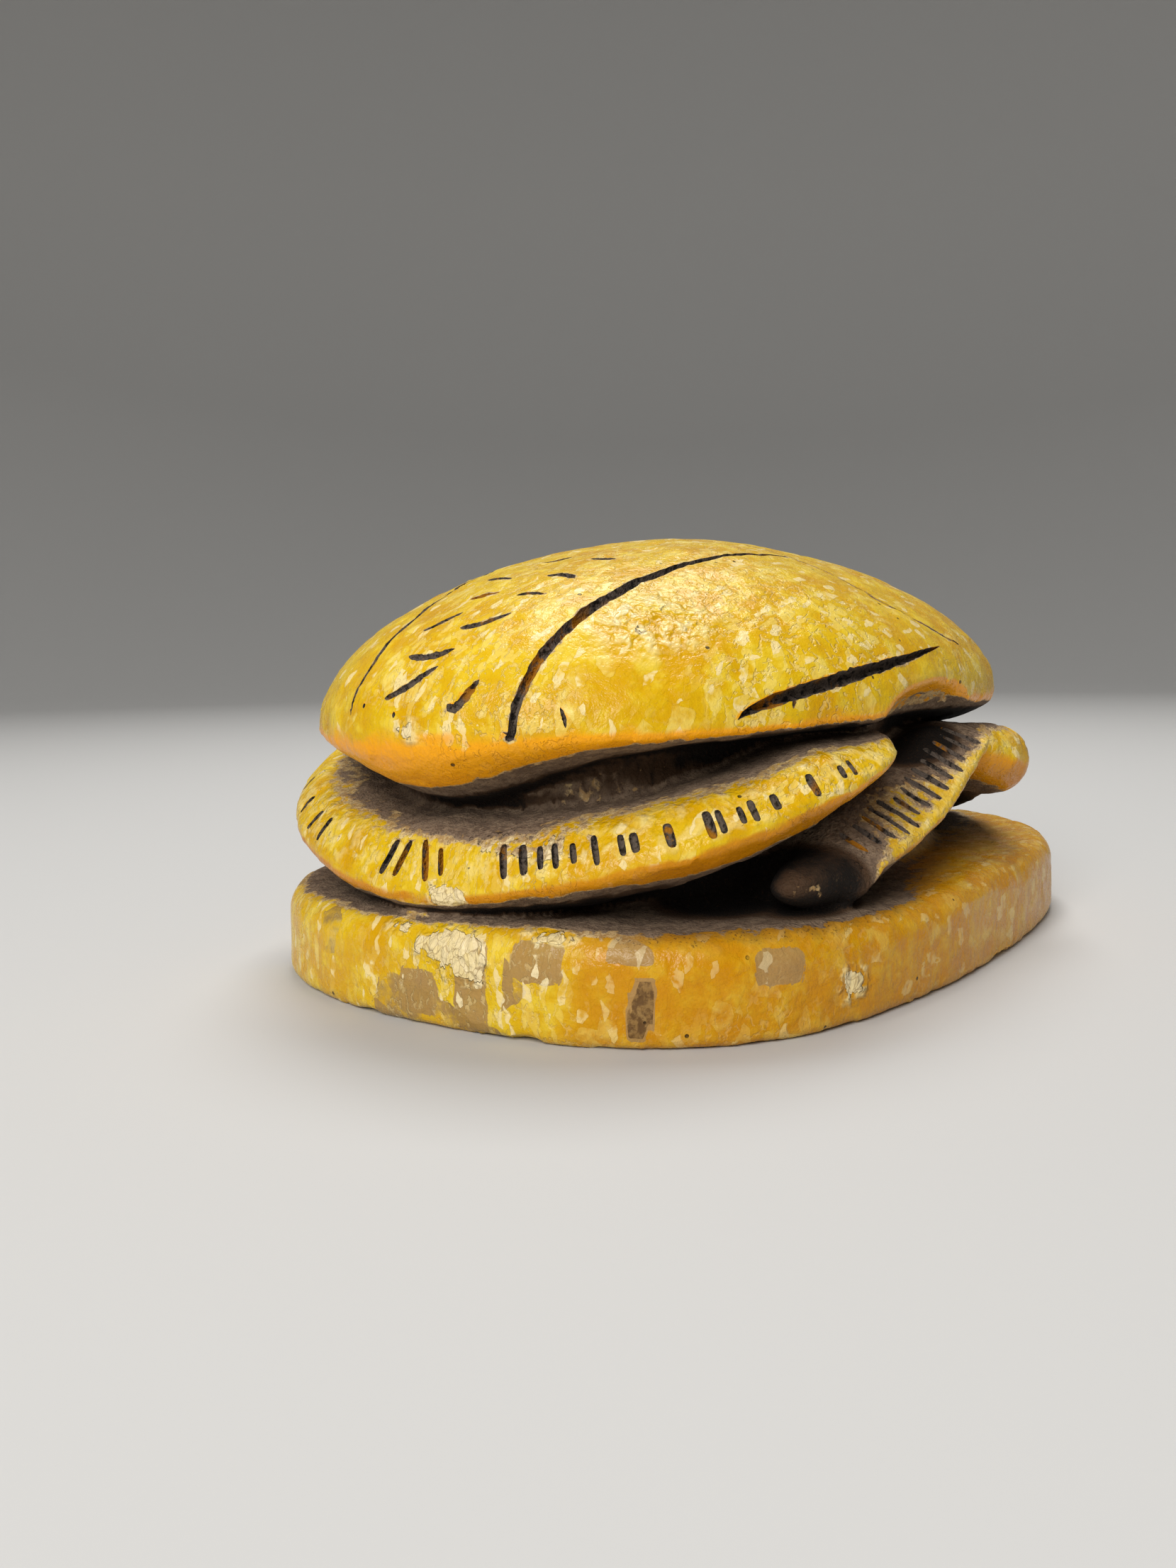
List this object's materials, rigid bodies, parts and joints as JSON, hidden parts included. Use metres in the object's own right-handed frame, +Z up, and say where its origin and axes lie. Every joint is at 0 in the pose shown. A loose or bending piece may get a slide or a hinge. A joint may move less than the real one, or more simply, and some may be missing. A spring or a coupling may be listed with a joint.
{
  "type": "scarab seal",
  "caption": "Carved scarab beetle on an oval plate, one solid piece that rests on its flat seal face.",
  "frame": {"origin": "middle of the flat underside", "axes": "+Z up from the underside through the back, +X along the length towards the head, +Y to the beetle's left"},
  "size_m": [0.0714, 0.051, 0.032],
  "materials": {
    "amber_stone": "Amber-yellow cast stone, pale chips and flakes in a waxy resin binder, with dark grey-brown patina in every cut and recess."
  },
  "bodies": {
    "root": {"scarab": "amber_stone"}
  },
  "joints": []
}
